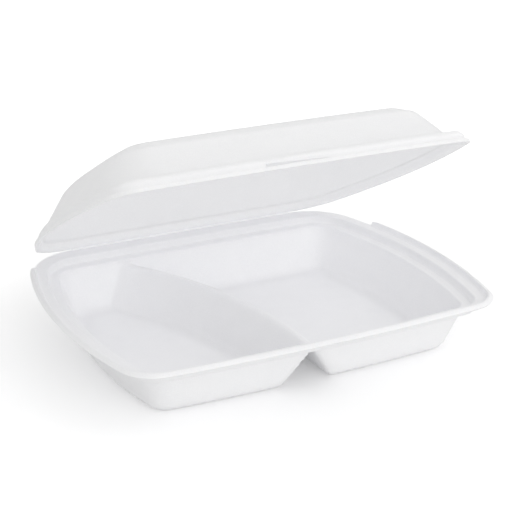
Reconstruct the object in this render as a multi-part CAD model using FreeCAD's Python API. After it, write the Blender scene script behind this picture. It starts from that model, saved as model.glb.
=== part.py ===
import FreeCAD, Part
import math
import os

# Driving dimensions in millimetres and degrees. Offsets run inwards from the rim's outer edge.
half_length = 120.0
front_edge = 95.4
widest_at = -8.0
side_bow = 14.5
front_bow = 5.5
back_edge = 97.0
well_back = 93.0
sheet = 2.0

# Heights
seat_height = 32.5
step_drop = 4.5
crest_rise = 3.0

# Plan radii at the outer edge, at the step, at the mouth and at the floor of the wells
front_corner = 21.0
back_corner = 36.0
step_front_corner = 13.0
step_back_corner = 24.0
mouth_front_corner = 11.0
mouth_back_corner = 14.0
floor_corner = 9.0

# Rim staircase of the tray, from the outer edge inwards
crest_inset = 2.2
crest_width = 1.2
lip_riser_run = 1.0
plate_inset = 3.0
seat_inner = 10.0
step_riser_run = 0.8
mouth_inset = 16.5
floor_inset = 26.0
lip_drop = 1.6
lip_thickness = 1.6
lip_end_left = 73.0
lip_end_right = 51.0

# Divider between the wells, an arc in plan
divider_radius = 230.0
divider_apex_x = -3.0
divider_apex_y = -60.0
divider_drop = 2.5
divider_top_radius = 3.2
divider_slope = 32.0
divider_turn_back = 48.0
divider_turn_front = 14.0
floor_radius = 6.0

# Lid
lid_inset = 5.0
lid_gap = 0.3
lid_front_corner = 16.0
lid_back_corner = 26.0
lip_width = 2.0
lid_lip_edge = 1.3
lid_lip_round = 0.7
shoulder_height = 7.6
shoulder_width = 3.2
shoulder_lean = 0.6
shoulder_round = 2.0
shoulder_inner_round = 1.6
lid_wall_foot = 11.0
lid_wall_top = 25.0
lid_break_height = 25.0
lid_top_inset = 36.0
lid_height = 30.0
lid_wall_corner = 34.0
lid_least_corner = 4.0
lid_break_inside = 1.5
lid_open = 29.0

# Hinge and latch
hinge_slit = 0.3
slit_left = -24.0
slit_right = 12.0
slit_wide = 2.0
slit_narrow = 0.3
tongue_left = -5.0
tongue_right = 11.0
tongue_depth = 0.6
tongue_run = 6.0

# Cutting blocks: how far they run past the object, and how far neighbouring bands run into each other
cutter = 400.0
cutter_depth = 5.0
head_room = 20.0
overlap = 0.5

crease = back_edge - plate_inset
side_radius = (front_edge + widest_at) ** 2 / (2 * side_bow) + side_bow / 2
nose_radius = half_length ** 2 / (2 * front_bow) + front_bow / 2


def circles_meet(c1, r1, c2, r2):
    """Right-hand front meeting point of two circles in plan."""
    d = c2.sub(c1).Length
    along = (d * d + r1 * r1 - r2 * r2) / (2 * d)
    across = (r1 * r1 - along * along) ** 0.5
    e = c2.sub(c1).multiply(1 / d)
    middle = c1.add(FreeCAD.Vector(e).multiply(along))
    n = FreeCAD.Vector(-e.y, e.x, 0)
    one = middle.add(FreeCAD.Vector(n).multiply(across))
    two = middle.sub(FreeCAD.Vector(n).multiply(across))
    return one if one.x - one.y > two.x - two.y else two


def outline(inset, z, front_radius, rear_radius, rear):
    """Closed bowed outline at height z: nose arc, four corners, two bowed sides, straight back."""
    V = FreeCAD.Vector
    side_centre = V(half_length - side_radius, widest_at, 0)
    nose_centre = V(0, -front_edge + nose_radius, 0)
    r_side = side_radius - inset
    r_nose = nose_radius - inset
    front = circles_meet(nose_centre, r_nose - front_radius, side_centre, r_side - front_radius)
    back_y = rear - inset
    dy = back_y - rear_radius - widest_at
    back = V(side_centre.x + ((r_side - rear_radius) ** 2 - dy * dy) ** 0.5, back_y - rear_radius, 0)

    def away(centre, through, radius):
        u = through.sub(centre)
        u.normalize()
        return centre.add(u.multiply(radius))

    a = away(nose_centre, front, r_nose)
    b = away(side_centre, front, r_side)
    c = away(side_centre, back, r_side)
    d = V(back.x, back_y, 0)
    nose = V(0, nose_centre.y - r_nose, 0)
    m_front = away(front, a.add(b).multiply(0.5), front_radius)
    m_back = away(back, c.add(d).multiply(0.5), rear_radius)
    m_side = V(side_centre.x + r_side, widest_at, 0)
    flip = lambda p: V(-p.x, p.y, 0)
    lift = lambda p: V(p.x, p.y, z)
    arc = lambda p, q, r: Part.Arc(lift(p), lift(q), lift(r)).toShape()
    return Part.Wire([
        arc(flip(a), nose, a),
        arc(a, m_front, b),
        arc(b, m_side, c),
        arc(c, m_back, d),
        Part.LineSegment(lift(d), lift(flip(d))).toShape(),
        arc(flip(d), flip(m_back), flip(c)),
        arc(flip(c), flip(m_side), flip(b)),
        arc(flip(b), flip(m_front), flip(a)),
    ])


def layer(levels, rear):
    """Stack of ruled bands; each level is (inset, height, front radius, rear radius)."""
    bands = []
    for low, high in zip(levels[:-1], levels[1:]):
        wires = [outline(i, z, f, r, rear) for i, z, f, r in (low, high)]
        bands.append(Part.makeLoft(wires, True, True))
    solid = bands[0]
    for band in bands[1:]:
        solid = solid.fuse(band)
    return solid.removeSplitter()


def rim(inset, z):
    """Level that keeps the rim's corners concentric."""
    return (inset, z, front_corner - inset, back_corner - inset)


def divider(skin):
    """Ridge between the wells, turned about the centre of its plan arc; skin is taken off all round."""
    V = FreeCAD.Vector
    slope = math.radians(divider_slope)
    top = seat_height - step_drop - divider_drop - skin
    r = divider_top_radius - skin * 0.5
    # the round of the top meets the flank where both lean the same way
    touch = V(r * math.cos(slope), 0, top - r + r * math.sin(slope))
    foot_z = -cutter_depth
    foot = touch.x + (touch.z - foot_z) * math.tan(slope)
    axis_x = divider_apex_x - divider_radius
    p = lambda x, z: V(divider_apex_x + x, divider_apex_y, z)
    profile = Part.Wire([
        Part.Arc(p(-touch.x, touch.z), p(0, top), p(touch.x, touch.z)).toShape(),
        Part.LineSegment(p(touch.x, touch.z), p(foot, foot_z)).toShape(),
        Part.LineSegment(p(foot, foot_z), p(-foot, foot_z)).toShape(),
        Part.LineSegment(p(-foot, foot_z), p(-touch.x, touch.z)).toShape(),
    ])
    centre = V(axis_x, divider_apex_y, 0)
    face = Part.Face(profile)
    back_turn = face.revolve(centre, V(0, 0, 1), divider_turn_back)
    front_turn = face.revolve(centre, V(0, 0, 1), -divider_turn_front)
    return back_turn.fuse(front_turn).removeSplitter()


def wells(skin, top):
    """Both wells as one block of space; skin puts it outside the sheet."""
    mouth_z = seat_height - step_drop
    drop = mouth_z - sheet
    lean = (floor_inset - mouth_inset) / drop
    out = skin * (1 + lean * lean) ** 0.5
    floor_z = sheet - skin
    at = lambda z: mouth_inset + (mouth_z - z) * lean - out
    block = layer([(at(floor_z), floor_z, floor_corner + skin, floor_corner + skin),
                   (at(top), top, mouth_front_corner + skin, mouth_back_corner + skin)], well_back)
    block = block.cut(divider(skin))
    at_floor = lambda z: abs(z - floor_z) < 0.01
    edges = [e for e in block.Edges if at_floor(e.BoundBox.ZMin) and at_floor(e.BoundBox.ZMax)]
    return block.makeFillet(floor_radius + skin, edges)


def before(left_y, right_y):
    """Everything in front of one plane on the left half and of another on the right half."""
    left = Part.makeBox(cutter, cutter + left_y, cutter, FreeCAD.Vector(-cutter, -cutter, -cutter / 2))
    right = Part.makeBox(cutter, cutter + right_y, cutter, FreeCAD.Vector(0, -cutter, -cutter / 2))
    return left.fuse(right)


# Everything behind the crease, cut off both pieces
behind = Part.makeBox(2 * cutter, cutter, cutter,
                      FreeCAD.Vector(-cutter, crease - hinge_slit / 2, -cutter / 2))

# Tray: one thermoformed foam sheet with two wells and a stepped rim
seat = seat_height
low = seat - step_drop
crest_in = crest_inset + crest_width
riser_foot = crest_in + lip_riser_run
crest = seat + crest_rise
lip_edge = crest - lip_drop

flange = layer([rim(0, lip_edge - lip_thickness), rim(0, lip_edge), rim(crest_inset, crest)], back_edge)
lip_back = layer([rim(riser_foot - sheet, seat - sheet), rim(crest_in - sheet, lip_edge)], back_edge)
lip = flange.fuse(lip_back).common(before(lip_end_left, lip_end_right))
plate = layer([rim(plate_inset, seat - sheet), rim(plate_inset, seat)], back_edge)
under_corners = (step_front_corner + sheet, step_back_corner + sheet)
under_step = layer([(seat_inner + step_riser_run - sheet, low - sheet, *under_corners),
                    (seat_inner - sheet, seat - sheet, *under_corners)], well_back)
outside = plate.fuse(lip).fuse(under_step).fuse(wells(sheet, low - sheet))

above = layer([rim(riser_foot, seat), rim(crest_in, crest), rim(crest_in, seat + head_room)], back_edge)
step_space = layer([(seat_inner + step_riser_run, low, step_front_corner, step_back_corner),
                    (seat_inner, seat, step_front_corner, step_back_corner),
                    (seat_inner, seat + head_room, step_front_corner, step_back_corner)], well_back)
well_space = wells(0.0, low + 0.01)
tray = outside.cut(above).cut(step_space).cut(well_space).cut(behind)

# Latch tongue pressed into the front of the rim
tongue_face = -front_edge + riser_foot - sheet + tongue_depth
tongue = Part.makeBox(tongue_right - tongue_left, tongue_run, sheet,
                      FreeCAD.Vector(tongue_left, tongue_face - tongue_run, seat - sheet))
tray = tray.cut(tongue).removeSplitter()

# Lid: a second sheet of the same foam, drawn closed and then turned open about the crease
lid_rear = crease + lid_inset
base = seat + lid_gap
shift = lid_front_corner + lid_inset
back_shift = lid_back_corner + lid_inset


def brim(inset, z):
    """Level of the lid's lip and shoulder, concentric corners."""
    return (inset, z, shift - inset, back_shift - inset)


def wall(inset, z):
    """Level of the lid's wall, concentric corners that are wider than the lip's."""
    grow = lid_wall_foot + lid_wall_corner
    corner = max(grow - inset, lid_least_corner)
    return (inset, z, corner, corner)


foot = lid_inset + lip_width
shoulder_in = foot + shoulder_lean
shoulder_top = foot + shoulder_width - lid_lip_round
shoulder = seat + shoulder_height
wall_lean = (lid_wall_top - lid_wall_foot) / (lid_break_height - shoulder_height)
wall_skin = sheet * (1 + wall_lean * wall_lean) ** 0.5
break_lean = (lid_top_inset - lid_wall_top) / (lid_height - lid_break_height)

brim_block = layer([brim(lid_inset, base), brim(lid_inset, base + lid_lip_edge),
                    brim(lid_inset + lid_lip_round, base + sheet)], lid_rear)
shoulder_block = layer([brim(foot, base + sheet - overlap), brim(shoulder_in, shoulder - shoulder_round),
                        brim(shoulder_top, shoulder)], lid_rear)
wall_block = layer([wall(lid_wall_foot, shoulder - overlap), wall(lid_wall_foot, shoulder),
                    wall(lid_wall_top, seat + lid_break_height),
                    wall(lid_top_inset, seat + lid_height)], lid_rear)
lid_outside = brim_block.fuse(shoulder_block).fuse(wall_block)

inner_foot = foot + sheet
inner_step = shoulder - sheet
inner_top = shoulder_in + sheet + shoulder_inner_round
wall_in = lambda z: lid_wall_foot + (z - shoulder) * wall_lean + wall_skin
brim_space = layer([brim(inner_foot, base - overlap), brim(inner_foot, base),
                    brim(inner_foot + shoulder_lean, inner_step - shoulder_inner_round),
                    brim(inner_top, inner_step)], lid_rear)
top_in = seat + lid_height - sheet
break_in = seat + lid_break_height - lid_break_inside
wall_space = layer([wall(wall_in(inner_step), inner_step - overlap), wall(wall_in(inner_step), inner_step),
                    wall(wall_in(break_in), break_in),
                    wall(wall_in(break_in) + (top_in - break_in) * break_lean, top_in)], lid_rear)
lid = lid_outside.cut(brim_space).cut(wall_space).cut(behind)

# Latch slit between the lid's lip and its shoulder, wider at its left end
slit_foot = base + sheet
slit_front = -front_edge
slit = Part.Face(Part.makePolygon([
    FreeCAD.Vector(slit_left, slit_front, slit_foot),
    FreeCAD.Vector(slit_right, slit_front, slit_foot),
    FreeCAD.Vector(slit_right, slit_front, slit_foot + slit_narrow),
    FreeCAD.Vector(slit_left, slit_front, slit_foot + slit_wide),
    FreeCAD.Vector(slit_left, slit_front, slit_foot),
])).extrude(FreeCAD.Vector(0, inner_foot + lip_width, 0))
lid = lid.cut(slit).removeSplitter()
lid.rotate(FreeCAD.Vector(0, crease, seat + lid_gap / 2), FreeCAD.Vector(1, 0, 0), -lid_open)

os.makedirs("parts", exist_ok=True)
tray.exportStep("parts/tray.step")
lid.exportStep("parts/lid.step")
for name, shape in (("tray", tray), ("lid", lid)):
    box = shape.BoundBox
    print(name, shape.isValid(), len(shape.Solids), round(shape.Volume), [round(v, 2) for v in
          (box.XMin, box.XMax, box.YMin, box.YMax, box.ZMin, box.ZMax)])
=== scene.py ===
import math

import bmesh
import bpy
from mathutils import Matrix, Vector
from mathutils.geometry import intersect_sphere_sphere_2d


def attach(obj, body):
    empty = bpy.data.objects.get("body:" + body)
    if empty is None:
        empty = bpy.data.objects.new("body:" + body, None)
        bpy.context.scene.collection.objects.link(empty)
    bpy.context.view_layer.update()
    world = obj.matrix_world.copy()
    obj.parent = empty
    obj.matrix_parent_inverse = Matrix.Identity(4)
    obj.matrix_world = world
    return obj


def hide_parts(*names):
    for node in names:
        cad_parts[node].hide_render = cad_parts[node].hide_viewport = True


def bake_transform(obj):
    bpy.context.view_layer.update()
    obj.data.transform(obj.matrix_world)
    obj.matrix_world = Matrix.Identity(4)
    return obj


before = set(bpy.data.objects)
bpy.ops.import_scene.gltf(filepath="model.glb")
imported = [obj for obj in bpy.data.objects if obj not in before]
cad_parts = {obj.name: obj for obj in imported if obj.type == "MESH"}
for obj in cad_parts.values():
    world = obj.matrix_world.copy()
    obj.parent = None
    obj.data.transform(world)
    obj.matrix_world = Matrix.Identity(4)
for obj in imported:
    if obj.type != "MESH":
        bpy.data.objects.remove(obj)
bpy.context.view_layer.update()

# Tray of the box: one sheet of white foamed polystyrene, drawn hot over a mould.
# It has a bowed rim of three steps, a small well on the left, a large one on the right
# and a hollow curved divider between them. Everything is one skin about 2 mm thick.

mm = 0.001
foam = 2 * mm
half_width = 120 * mm
rim_front = -95.4 * mm
rim_back = 97 * mm
widest_at = -8 * mm
side_bow = 14.5 * mm
nose_bow = 5.5 * mm
side_radius = (widest_at - rim_front) ** 2 / (2 * side_bow) + side_bow / 2
nose_radius = half_width ** 2 / (2 * nose_bow) + nose_bow / 2
weld = 0.01 * mm


def pick(wanted, kind="VERT"):
    """Selects the parts of the mesh in edit mode for which wanted(part) is true."""
    bpy.ops.mesh.select_mode(type=kind)
    bpy.ops.mesh.select_all(action="DESELECT")
    shape = bpy.context.edit_object.data
    cage = bmesh.from_edit_mesh(shape)
    for part in {"VERT": cage.verts, "EDGE": cage.edges, "FACE": cage.faces}[kind]:
        if wanted(part):
            part.select_set(True)
    bmesh.update_edit_mesh(shape)


def middle(edge):
    """Point halfway along an edge."""
    return (edge.verts[0].co + edge.verts[1].co) / 2


def at_level(place, level):
    """True for a place within a hair of this height."""
    return abs(place.z - level) < 0.05 * mm


def is_bend(edge, degrees):
    """True for an edge where two faces meet at more than this angle."""
    return not edge.is_boundary and edge.calc_face_angle(0) > math.radians(degrees)


def start_point(name, place):
    """New mesh in edit mode with one vertex, from which a line is drawn by extruding and spinning."""
    bpy.ops.object.select_all(action="DESELECT")
    bpy.ops.mesh.primitive_plane_add(size=foam)
    bpy.context.object.name = name
    bpy.ops.object.mode_set(mode="EDIT")
    bpy.ops.mesh.select_mode(type="VERT")
    bpy.ops.mesh.merge(type="CENTER")
    bpy.ops.transform.translate(value=place)
    return bpy.context.object


def rim_line(name, inset, height, front_corner, back_corner, rear):
    """Closed bowed line round the box: nose arc, corners, bowed sides and a straight back."""
    nose = Vector((0, rim_front + nose_radius))
    side = Vector((half_width - side_radius, widest_at))
    turned = intersect_sphere_sphere_2d(nose, nose_radius - inset - front_corner,
                                        side, side_radius - inset - front_corner)
    front = max(turned, key=lambda p: p.x - p.y)
    back_y = rear - inset - back_corner
    reach = side_radius - inset - back_corner
    back = Vector((side.x + math.sqrt(reach ** 2 - (back_y - side.y) ** 2), back_y))
    nose_ends = math.atan2(front.y - nose.y, front.x - nose.x)
    side_starts = math.atan2(front.y - side.y, front.x - side.x)
    side_ends = math.atan2(back.y - side.y, back.x - side.x)
    arcs = [
        (nose, nose_ends + math.pi / 2, 16),
        (front, side_starts - nose_ends, 12),
        (side, side_ends - side_starts, 40),
        (back, math.pi / 2 - side_ends, 12),
    ]
    line = start_point(name, (0, rim_front + inset, height))
    for centre, turn, steps in arcs:
        bpy.ops.mesh.spin(steps=steps, angle=-turn, center=(centre.x, centre.y, height), axis=(0, 0, 1))
    back_steps = 20
    for _ in range(back_steps):
        bpy.ops.mesh.extrude_region_move(TRANSFORM_OT_translate={"value": (-2 * back.x / back_steps, 0, 0)})
    for centre, turn, steps in reversed(arcs):
        bpy.ops.mesh.spin(steps=steps, angle=-turn, center=(-centre.x, centre.y, height), axis=(0, 0, 1))
    bpy.ops.mesh.select_all(action="SELECT")
    bpy.ops.mesh.remove_doubles(threshold=weld)
    return line


def fill_upwards():
    """Fills the selected closed line with one face that looks up."""
    bpy.ops.mesh.edge_face_add()
    cage = bmesh.from_edit_mesh(bpy.context.edit_object.data)
    cage.faces.ensure_lookup_table()
    cage.normal_update()
    if cage.faces[0].normal.z < 0:
        bpy.ops.mesh.flip_normals()


def join(name, pieces):
    """Joins pieces into one mesh under a name and leaves it in edit mode."""
    bpy.ops.object.mode_set(mode="OBJECT")
    bpy.ops.object.select_all(action="DESELECT")
    for piece in pieces:
        piece.select_set(True)
    bpy.context.view_layer.objects.active = pieces[0]
    bpy.ops.object.join()
    pieces[0].name = name
    bpy.ops.object.mode_set(mode="EDIT")
    return pieces[0]


def apply(piece, kind, **settings):
    """Adds one modifier to the piece with these settings and applies it."""
    bpy.ops.object.mode_set(mode="OBJECT")
    bpy.ops.object.select_all(action="DESELECT")
    piece.select_set(True)
    bpy.context.view_layer.objects.active = piece
    bpy.ops.object.modifier_add(type=kind)
    modifier = piece.modifiers[-1]
    for key, value in settings.items():
        setattr(modifier, key, value)
    bpy.ops.object.modifier_apply(modifier=modifier.name)


def look_up(level):
    """Turns all faces the same way, with those at this level looking up."""
    bpy.ops.mesh.select_mode(type="FACE")
    bpy.ops.mesh.select_all(action="SELECT")
    bpy.ops.mesh.normals_make_consistent(inside=False)
    cage = bmesh.from_edit_mesh(bpy.context.edit_object.data)
    cage.normal_update()
    flat = [f for f in cage.faces if at_level(f.calc_center_median(), level)]
    if sum(f.normal.z * f.calc_area() for f in flat) < 0:
        bpy.ops.mesh.flip_normals()


# rim: lip edge, rounded crest, riser down to the seat
seat_z = 32.5 * mm
crest_z = 35.5 * mm
lip_edge_z = 33.9 * mm
lip_back_corner = 36 * mm
lip_fall = 2.2 * mm
lip_crest = 1.2 * mm
lip_riser = 1 * mm
rim = rim_line("rim", inset=0, height=lip_edge_z,
               front_corner=21 * mm, back_corner=lip_back_corner, rear=rim_back)
fill_upwards()
bpy.ops.mesh.inset(thickness=lip_fall, depth=crest_z - lip_edge_z)
bpy.ops.mesh.inset(thickness=lip_crest, depth=0)
bpy.ops.mesh.inset(thickness=lip_riser, depth=seat_z - crest_z)
bpy.ops.mesh.delete(type="FACE")
bpy.ops.object.mode_set(mode="OBJECT")

# step from the seat down to the ledge round the wells
ledge_z = 28 * mm
wells_back = 93 * mm
step = rim_line("step", inset=10 * mm, height=seat_z,
                front_corner=13 * mm, back_corner=24 * mm, rear=wells_back)
fill_upwards()
bpy.ops.mesh.inset(thickness=0.8 * mm, depth=ledge_z - seat_z)
bpy.ops.mesh.delete(type="FACE")
bpy.ops.object.mode_set(mode="OBJECT")

# mouth of the wells and the first of their drafted wall
floor_z = foam
mouth_in = 16.5 * mm
floor_in = 26 * mm
draft = (floor_in - mouth_in) / (ledge_z - floor_z)
wall_start = 1 * mm
mouth = rim_line("mouth", inset=mouth_in, height=ledge_z,
                 front_corner=11 * mm, back_corner=14 * mm, rear=wells_back)
fill_upwards()
bpy.ops.mesh.inset(thickness=draft * wall_start, depth=-wall_start)
bpy.ops.mesh.delete(type="FACE")
tray = join("foam_tray", [rim, step, mouth])
for level in (seat_z, ledge_z):
    pick(lambda e: e.is_boundary and at_level(middle(e), level), "EDGE")
    bpy.ops.mesh.bridge_edge_loops()

# the lip stops short of the hinge, further back on the left, and runs out there lower and narrower;
# behind its ends the flat seat runs on a little wider, as far as the crease
crease_y = 94 * mm
crease_slit = 0.15 * mm
lip_end_left = 74.6 * mm
lip_end_right = 52.6 * mm
bow_x = side_radius - half_width
corner_x = 73.6 * mm
corner_y = rim_back - lip_back_corner
corner_reach = 33 * mm
above_seat = seat_z + 0.1 * mm


def past_lip(place):
    """True behind the ends of the lip, which lie square across the rim."""
    if place.x > 0:
        return (place.y - widest_at) * (half_width + bow_x) > (lip_end_right - widest_at) * (place.x + bow_x)
    return (place.y - corner_y) * corner_reach > (lip_end_left - corner_y) * (-place.x - corner_x)


def lip_run(place):
    """Distance along the side from this place back to the lip's end."""
    return (lip_end_right if place.x > 0 else lip_end_left) - place.y


pick(lambda f: f.calc_center_median().z > above_seat and past_lip(f.calc_center_median()), "FACE")
bpy.ops.mesh.delete(type="FACE")
pick(lambda e: e.is_boundary and past_lip(middle(e)) and at_level(middle(e), seat_z), "EDGE")
bpy.ops.mesh.extrude_region_move(TRANSFORM_OT_translate={"value": (0, 0, 0)})
lip_width = lip_fall + lip_crest + lip_riser
plate_out = 1.4 * mm
plate_x = half_width - lip_width
plate_y = rim_back - lip_width
bpy.ops.transform.resize(value=(1 + plate_out / plate_x, (crease_y - crease_slit) / plate_y, 1),
                         center_override=(0, 0, seat_z))
run_out = ((10 * mm, 0.94), (6 * mm, 0.8), (2 * mm, 0.5))
width_share = 0.997
for run, _ in run_out:
    pick(lambda v: above_seat < v.co.z < lip_edge_z + 0.1 * mm and lip_run(v.co) < run)
    bpy.ops.transform.resize(value=(width_share, 1, 1), center_override=(0, 0, 0))
for run, height_share in run_out:
    pick(lambda v: v.co.z > above_seat and lip_run(v.co) < run)
    bpy.ops.transform.resize(value=(1, 1, height_share), center_override=(0, 0, seat_z))

# soft roundings of the moulded steps
pick(lambda e: is_bend(e, 20) and middle(e).z > crest_z - 0.1 * mm, "EDGE")
bpy.ops.mesh.bevel(offset=0.5 * mm, segments=3)
pick(lambda e: is_bend(e, 40) and ledge_z - 0.1 * mm < middle(e).z < above_seat, "EDGE")
bpy.ops.mesh.bevel(offset=0.85 * mm, segments=4)
bpy.ops.object.mode_set(mode="OBJECT")

# both wells as one drafted block, round at the foot
block_rise = 6 * mm
block_top = ledge_z + block_rise
foot_round = 4.2 * mm
low = rim_line("well_foot", inset=floor_in, height=floor_z,
               front_corner=9 * mm, back_corner=9 * mm, rear=wells_back)
bpy.ops.object.mode_set(mode="OBJECT")
high = rim_line("well_head", inset=mouth_in - draft * block_rise, height=block_top,
                front_corner=11.5 * mm, back_corner=15.2 * mm, rear=wells_back)
wells = join("wells", [low, high])
bpy.ops.mesh.select_all(action="SELECT")
bpy.ops.mesh.bridge_edge_loops()
pick(lambda e: middle(e).z < floor_z + weld, "EDGE")
bpy.ops.mesh.edge_face_add()
pick(lambda e: middle(e).z > block_top - weld, "EDGE")
bpy.ops.mesh.edge_face_add()
bpy.ops.mesh.select_all(action="SELECT")
bpy.ops.mesh.normals_make_consistent(inside=False)
pick(lambda e: middle(e).z < floor_z + weld, "EDGE")
bpy.ops.mesh.bevel(offset=foot_round, segments=7)
bpy.ops.object.mode_set(mode="OBJECT")

# divider: its section is drawn as a tent with rounded ridge and feet, then spun along its arc
ridge_radius = 230 * mm
ridge_x = -3 * mm
ridge_y = -60 * mm
ridge_front = 14
ridge_turn = 62
tent_z = 28.34 * mm
tent_lean = 32
tent_foot = tent_z * math.tan(math.radians(tent_lean)) - 1.25 * mm
foot_z = floor_z - 0.05 * mm
under_z = -5 * mm
apron = 8 * mm
section = [
    (0, 0, foot_z - under_z),
    (apron, 0, 0),
    (tent_foot, 0, tent_z - foot_z),
    (tent_foot, 0, foot_z - tent_z),
    (apron, 0, 0),
    (0, 0, under_z - foot_z),
]
ridge = start_point("ridge", (ridge_x - tent_foot - apron, ridge_y, under_z))
for step_to in section:
    bpy.ops.mesh.extrude_region_move(TRANSFORM_OT_translate={"value": step_to})
pick(lambda v: v.co.z > tent_z - 1 * mm)
bpy.ops.mesh.bevel(affect="VERTICES", offset=5.1 * mm, segments=8)
pick(lambda v: abs(v.co.z - foot_z) < weld and abs(abs(v.co.x - ridge_x) - tent_foot) < 0.1 * mm)
bpy.ops.mesh.bevel(affect="VERTICES", offset=2.4 * mm, segments=5)
bpy.ops.mesh.select_all(action="SELECT")
bpy.ops.mesh.edge_face_add()
ridge_centre = (ridge_x - ridge_radius, ridge_y, 0)
bpy.ops.transform.rotate(value=math.radians(ridge_front), orient_axis="Z", center_override=ridge_centre)
cage = bmesh.from_edit_mesh(ridge.data)
if max(v.co.y for v in cage.verts) > ridge_y:
    bpy.ops.transform.rotate(value=math.radians(-2 * ridge_front), orient_axis="Z",
                             center_override=ridge_centre)
bpy.ops.mesh.spin(steps=44, angle=math.radians(-ridge_turn), center=ridge_centre, axis=(0, 0, 1))
bpy.ops.mesh.select_all(action="SELECT")
bpy.ops.mesh.normals_make_consistent(inside=False)
apply(wells, "BOOLEAN", operation="DIFFERENCE", object=ridge, solver="EXACT")
bpy.data.objects.remove(ridge)

# even mesh and soft creases, as drawn foam has, then the open top is cut level and sewn to the rim
apply(wells, "REMESH", mode="VOXEL", voxel_size=1.3 * mm)
apply(wells, "SMOOTH", factor=0.5, iterations=6)
bpy.ops.object.mode_set(mode="EDIT")
bpy.ops.mesh.select_all(action="SELECT")
seam_z = ledge_z - wall_start
cut_z = seam_z - 0.5 * mm
bpy.ops.mesh.bisect(plane_co=(0, 0, cut_z), plane_no=(0, 0, 1), clear_outer=True)
tray = join("foam_tray", [tray, wells])
pick(lambda e: e.is_boundary and middle(e).z < seam_z + 0.1 * mm, "EDGE")
bpy.ops.mesh.bridge_edge_loops()
look_up(floor_z)
bpy.ops.object.mode_set(mode="OBJECT")

# thickness of the sheet, less in the lip, where it was drawn furthest
lip_share = 0.65
sheet_group = tray.vertex_groups.new(name="sheet")
for corner in tray.data.vertices:
    sheet_group.add([corner.index], lip_share if corner.co.z > seat_z + 0.2 * mm else 1.0, "REPLACE")
apply(tray, "SOLIDIFY", thickness=foam, offset=-1, use_even_offset=True, vertex_group="sheet")
tray.vertex_groups.clear()


def cutter(name, low, high):
    """Box between two corners, left in edit mode, for cutting into a piece."""
    bpy.ops.object.select_all(action="DESELECT")
    bpy.ops.mesh.primitive_cube_add(size=1)
    bpy.context.object.name = name
    bpy.ops.object.mode_set(mode="EDIT")
    bpy.ops.transform.resize(value=[b - a for a, b in zip(low, high)])
    bpy.ops.transform.translate(value=[(a + b) / 2 for a, b in zip(low, high)])
    return bpy.context.object


# latch tongue pressed into the wall under the front lip, and the short slit that shows in the lip above it
tongue = cutter("tongue", low=(-5 * mm, -98 * mm, 30.5 * mm), high=(11 * mm, -92.4 * mm, 32.5 * mm))
bpy.ops.object.mode_set(mode="OBJECT")
nick = cutter("nick", low=(-3.2 * mm, -97 * mm, 33.5 * mm), high=(3.6 * mm, -94.7 * mm, 33.75 * mm))
bpy.ops.object.mode_set(mode="OBJECT")
for cut in (tongue, nick):
    apply(tray, "BOOLEAN", operation="DIFFERENCE", object=cut, solver="EXACT")
    bpy.data.objects.remove(cut)
bpy.ops.object.shade_smooth_by_angle(angle=math.radians(40))

# skin of the foam: matt white with a faint cool cast, a fine closed-cell grain and a slow mottle where the
# sheet was drawn thinner; a little light passes into it
foam_white = (0.95, 0.95, 0.96, 1)
foam_shade = (0.88, 0.88, 0.90, 1)
cells_per_metre = 1300
mottle_per_metre = 60
grain_share = 0.6
grain_height = 0.15 * mm


def foam_finish(name, light_share, light_depth):
    """Material of the foamed sheet; light_share of the light enters it and travels about light_depth."""
    finish = bpy.data.materials.new(name)
    finish.use_nodes = True
    tree = finish.node_tree
    skin = tree.nodes["Principled BSDF"]
    skin.inputs["Roughness"].default_value = 0.5
    skin.inputs["Specular IOR Level"].default_value = 0.35
    skin.inputs["Subsurface Weight"].default_value = light_share
    skin.inputs["Subsurface Radius"].default_value = (light_depth, light_depth, light_depth)
    skin.inputs["Subsurface Scale"].default_value = 1.0
    place = tree.nodes.new("ShaderNodeTexCoord")
    cells = tree.nodes.new("ShaderNodeTexVoronoi")
    cells.inputs["Scale"].default_value = cells_per_metre
    mottle = tree.nodes.new("ShaderNodeTexNoise")
    mottle.inputs["Scale"].default_value = mottle_per_metre
    mottle.inputs["Detail"].default_value = 5
    tree.links.new(place.outputs["Object"], cells.inputs["Vector"])
    tree.links.new(place.outputs["Object"], mottle.inputs["Vector"])
    blotch = tree.nodes.new("ShaderNodeMath")
    blotch.operation = "MULTIPLY_ADD"
    blotch.inputs[1].default_value = grain_share
    tree.links.new(cells.outputs["Distance"], blotch.inputs[0])
    tree.links.new(mottle.outputs["Fac"], blotch.inputs[2])
    tone = tree.nodes.new("ShaderNodeMix")
    tone.data_type = "RGBA"
    tone.inputs["A"].default_value = foam_shade
    tone.inputs["B"].default_value = foam_white
    tree.links.new(blotch.outputs["Value"], tone.inputs["Factor"])
    tree.links.new(tone.outputs["Result"], skin.inputs["Base Color"])
    relief = tree.nodes.new("ShaderNodeBump")
    relief.inputs["Strength"].default_value = 0.5
    relief.inputs["Distance"].default_value = grain_height
    tree.links.new(blotch.outputs["Value"], relief.inputs["Height"])
    tree.links.new(relief.outputs["Normal"], skin.inputs["Normal"])
    return finish


tray_foam = foam_finish("tray_foam", light_share=0.6, light_depth=2.5 * mm)
tray.data.materials.clear()
tray.data.materials.append(tray_foam)
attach(tray, "tray")
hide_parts("tray")


# Lid of the box: the same sheet past the crease, with a flat lip, a raised shoulder, sloped walls
# and a flat top. It is modelled closed, as it lies on the tray, and then turned open about the crease.

lid_in = 5 * mm
lid_rear = crease_y - crease_slit + lid_in
lip_top_z = 34.8 * mm
shoulder_z = 40.1 * mm
lid_top_z = 62.5 * mm
open_angle = 29
crease = (0, crease_y, 32.65 * mm)

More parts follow.
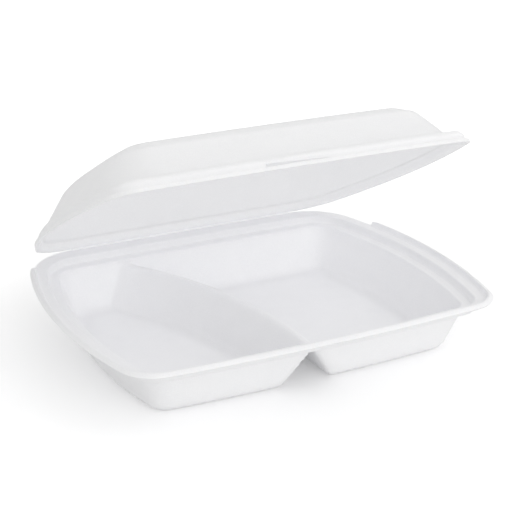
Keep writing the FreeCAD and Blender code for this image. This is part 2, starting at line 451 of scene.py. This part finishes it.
# lip and shoulder
brim = rim_line("brim", inset=lid_in, height=lip_top_z,
                front_corner=16 * mm, back_corner=26 * mm, rear=lid_rear)
fill_upwards()
bpy.ops.mesh.inset(thickness=2 * mm, depth=0)
bpy.ops.mesh.inset(thickness=0.6 * mm, depth=3.3 * mm)
bpy.ops.mesh.inset(thickness=1.5 * mm, depth=1.6 * mm)
bpy.ops.mesh.inset(thickness=0.6 * mm, depth=0.4 * mm)
bpy.ops.mesh.delete(type="FACE")
pick(lambda e: is_bend(e, 25), "EDGE")
bpy.ops.mesh.bevel(offset=0.6 * mm, segments=3)
bpy.ops.object.mode_set(mode="OBJECT")

# wall, bevel and top
dome = rim_line("dome", inset=10.2 * mm, height=shoulder_z,
                front_corner=34.8 * mm, back_corner=34.8 * mm, rear=lid_rear)
fill_upwards()
bpy.ops.mesh.inset(thickness=0.5 * mm, depth=0.08 * mm)
bpy.ops.mesh.inset(thickness=0.5 * mm, depth=0.28 * mm)
bpy.ops.mesh.inset(thickness=13.8 * mm, depth=17.04 * mm)
bpy.ops.mesh.inset(thickness=11 * mm, depth=5 * mm)
pick(lambda e: is_bend(e, 10) and middle(e).z > shoulder_z + 5 * mm, "EDGE")
bpy.ops.mesh.bevel(offset=1.4 * mm, segments=4)
lid = join("foam_lid", [brim, dome])
pick(lambda e: e.is_boundary and at_level(middle(e), shoulder_z), "EDGE")
bpy.ops.mesh.bridge_edge_loops()
look_up(lid_top_z)
apply(lid, "SOLIDIFY", thickness=foam, offset=-1, use_even_offset=True)

# latch slit between the lip and the shoulder, wider at its left end
slit_height = 2 * mm
slit_taper = 1.7 * mm
knife = cutter("knife", low=(-24 * mm, -98.4 * mm, lip_top_z),
               high=(12 * mm, -82.4 * mm, lip_top_z + slit_height))
pick(lambda v: v.co.x > 0 and v.co.z > lip_top_z + slit_height / 2)
bpy.ops.transform.translate(value=(0, 0, -slit_taper))
apply(lid, "BOOLEAN", operation="DIFFERENCE", object=knife, solver="EXACT")
bpy.data.objects.remove(knife)

# turned open
bpy.ops.object.mode_set(mode="EDIT")
bpy.ops.mesh.select_all(action="SELECT")
bpy.ops.mesh.remove_doubles(threshold=weld)
bpy.ops.transform.rotate(value=math.radians(open_angle), orient_axis="X", center_override=crease)
cage = bmesh.from_edit_mesh(lid.data)
if min(v.co.z for v in cage.verts) < 0:
    bpy.ops.transform.rotate(value=math.radians(-2 * open_angle), orient_axis="X", center_override=crease)
bpy.ops.object.mode_set(mode="OBJECT")
bpy.ops.object.shade_smooth_by_angle(angle=math.radians(40))
lid_foam = foam_finish("lid_foam", light_share=1, light_depth=7 * mm)
lid.data.materials.clear()
lid.data.materials.append(lid_foam)
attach(lid, "lid")
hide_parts("lid")


# Hinge crease: the line where the sheet was pressed thin so that the lid can fold.
# It is foam too, a narrow bead that joins the back of the seat to the back of the lid's lip.

bead = 0.6 * mm
bead_half = 74 * mm
bead_steps = 30
bead_start = (-bead_half, crease_y, crease[2])
hinge = start_point("hinge_crease", (-bead_half, crease_y - bead, crease[2]))
bpy.ops.mesh.spin(steps=10, angle=2 * math.pi, center=bead_start, axis=(1, 0, 0))
bpy.ops.mesh.select_all(action="SELECT")
bpy.ops.mesh.remove_doubles(threshold=weld)
bpy.ops.mesh.edge_face_add()
for _ in range(bead_steps):
    bpy.ops.mesh.extrude_region_move(TRANSFORM_OT_translate={"value": (2 * bead_half / bead_steps, 0, 0)})
bpy.ops.mesh.select_all(action="SELECT")
bpy.ops.mesh.normals_make_consistent(inside=False)
bpy.ops.object.mode_set(mode="OBJECT")
bpy.ops.object.shade_smooth_by_angle(angle=math.radians(50))

# the pressed line is thin and lets some light through it; besides that, a faint white glow is painted on the
# bead, a painted highlight that lightens the shaded crease
crease_foam_painted_glow = foam_finish("crease_foam_painted_glow", light_share=1, light_depth=3 * mm)
crease_foam_painted_glow.node_tree.nodes["Principled BSDF"].inputs["Emission Color"].default_value = foam_white
crease_foam_painted_glow.node_tree.nodes["Principled BSDF"].inputs["Emission Strength"].default_value = 0.25
hinge.data.materials.clear()
hinge.data.materials.append(crease_foam_painted_glow)
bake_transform(hinge)


# Studio: a seamless white floor, a large soft light from the front right and above, a lower one
# from the front, and a bright room.

bpy.ops.object.select_all(action="DESELECT")
bpy.ops.mesh.primitive_plane_add(size=6)
floor = bpy.context.object
floor.name = "studio_floor"
paper = bpy.data.materials.new("studio_paper")
paper.use_nodes = True
paper_skin = paper.node_tree.nodes["Principled BSDF"]
paper_skin.inputs["Base Color"].default_value = (0.82, 0.82, 0.82, 1)
paper_skin.inputs["Roughness"].default_value = 0.9
paper_skin.inputs["Emission Color"].default_value = (1, 1, 1, 1)

# painted light and shade on the paper: it glows white to the camera, more with every step away from the box,
# so a painted shade lies round the box's foot; to other rays it glows only faintly and hardly lights the box
# itself
painted_glow_at_box = 0.06
painted_glow_per_metre = 1.6
painted_glow_on_box = 0.03
spot = paper.node_tree.nodes.new("ShaderNodeTexCoord")
away = paper.node_tree.nodes.new("ShaderNodeVectorMath")
away.operation = "LENGTH"
paper.node_tree.links.new(spot.outputs["Object"], away.inputs[0])
glow = paper.node_tree.nodes.new("ShaderNodeMath")
glow.operation = "MULTIPLY_ADD"
glow.inputs[1].default_value = painted_glow_per_metre
glow.inputs[2].default_value = painted_glow_at_box
paper.node_tree.links.new(away.outputs["Value"], glow.inputs[0])
seen = paper.node_tree.nodes.new("ShaderNodeLightPath")
shown = paper.node_tree.nodes.new("ShaderNodeMath")
shown.operation = "MULTIPLY_ADD"
shown.inputs[2].default_value = painted_glow_on_box
paper.node_tree.links.new(seen.outputs["Is Camera Ray"], shown.inputs[0])
paper.node_tree.links.new(glow.outputs["Value"], shown.inputs[1])
paper.node_tree.links.new(shown.outputs["Value"], paper_skin.inputs["Emission Strength"])
floor.data.materials.append(paper)


def soft_light(name, place, target, size, power):
    """Square studio lamp that looks at a point."""
    lamp = bpy.data.lights.new(name, "AREA")
    lamp.shape = "SQUARE"
    lamp.size = size
    lamp.energy = power
    holder = bpy.data.objects.new(name, lamp)
    bpy.context.collection.objects.link(holder)
    holder.location = place
    holder.rotation_euler = (Vector(target) - Vector(place)).to_track_quat("-Z", "Y").to_euler()


soft_light("key_light", place=(0.8, -0.62, 0.9), target=(0, 0, 0.05), size=1, power=2.4)
soft_light("front_light", place=(0.05, -1.2, 0.5), target=(0, 0.05, 0.04), size=0.8, power=3.1)
room = bpy.data.worlds.new("room")
room.use_nodes = True
room.node_tree.nodes["Background"].inputs["Color"].default_value = (1, 1, 1, 1)
room.node_tree.nodes["Background"].inputs["Strength"].default_value = 0.74
bpy.context.scene.world = room
bpy.context.scene.view_settings.view_transform = "Standard"

# light goes back and forth many times between white walls
bpy.context.scene.cycles.max_bounces = 16
bpy.context.scene.cycles.diffuse_bounces = 12

# camera placed where the photograph was taken from
eye = Vector((-0.33116, -0.65167, 0.33613))
aim = Vector((0.01989, 0.02824, 0.0325))
roll = math.radians(0.18)
lens = bpy.data.cameras.new("photo_camera")
lens.lens = 96.04
lens.sensor_width = 36
lens.clip_start = 0.05
camera = bpy.data.objects.new("photo_camera", lens)
bpy.context.collection.objects.link(camera)
ahead = (aim - eye).normalized()
right = ahead.cross(Vector((0, 0, 1))).normalized()
up = right.cross(ahead)
level_right = right * math.cos(roll) + up * math.sin(roll)
level_up = up * math.cos(roll) - right * math.sin(roll)
turn = Matrix((level_right, level_up, -ahead)).transposed()
camera.matrix_world = Matrix.Translation(eye) @ turn.to_4x4()
bpy.context.scene.camera = camera
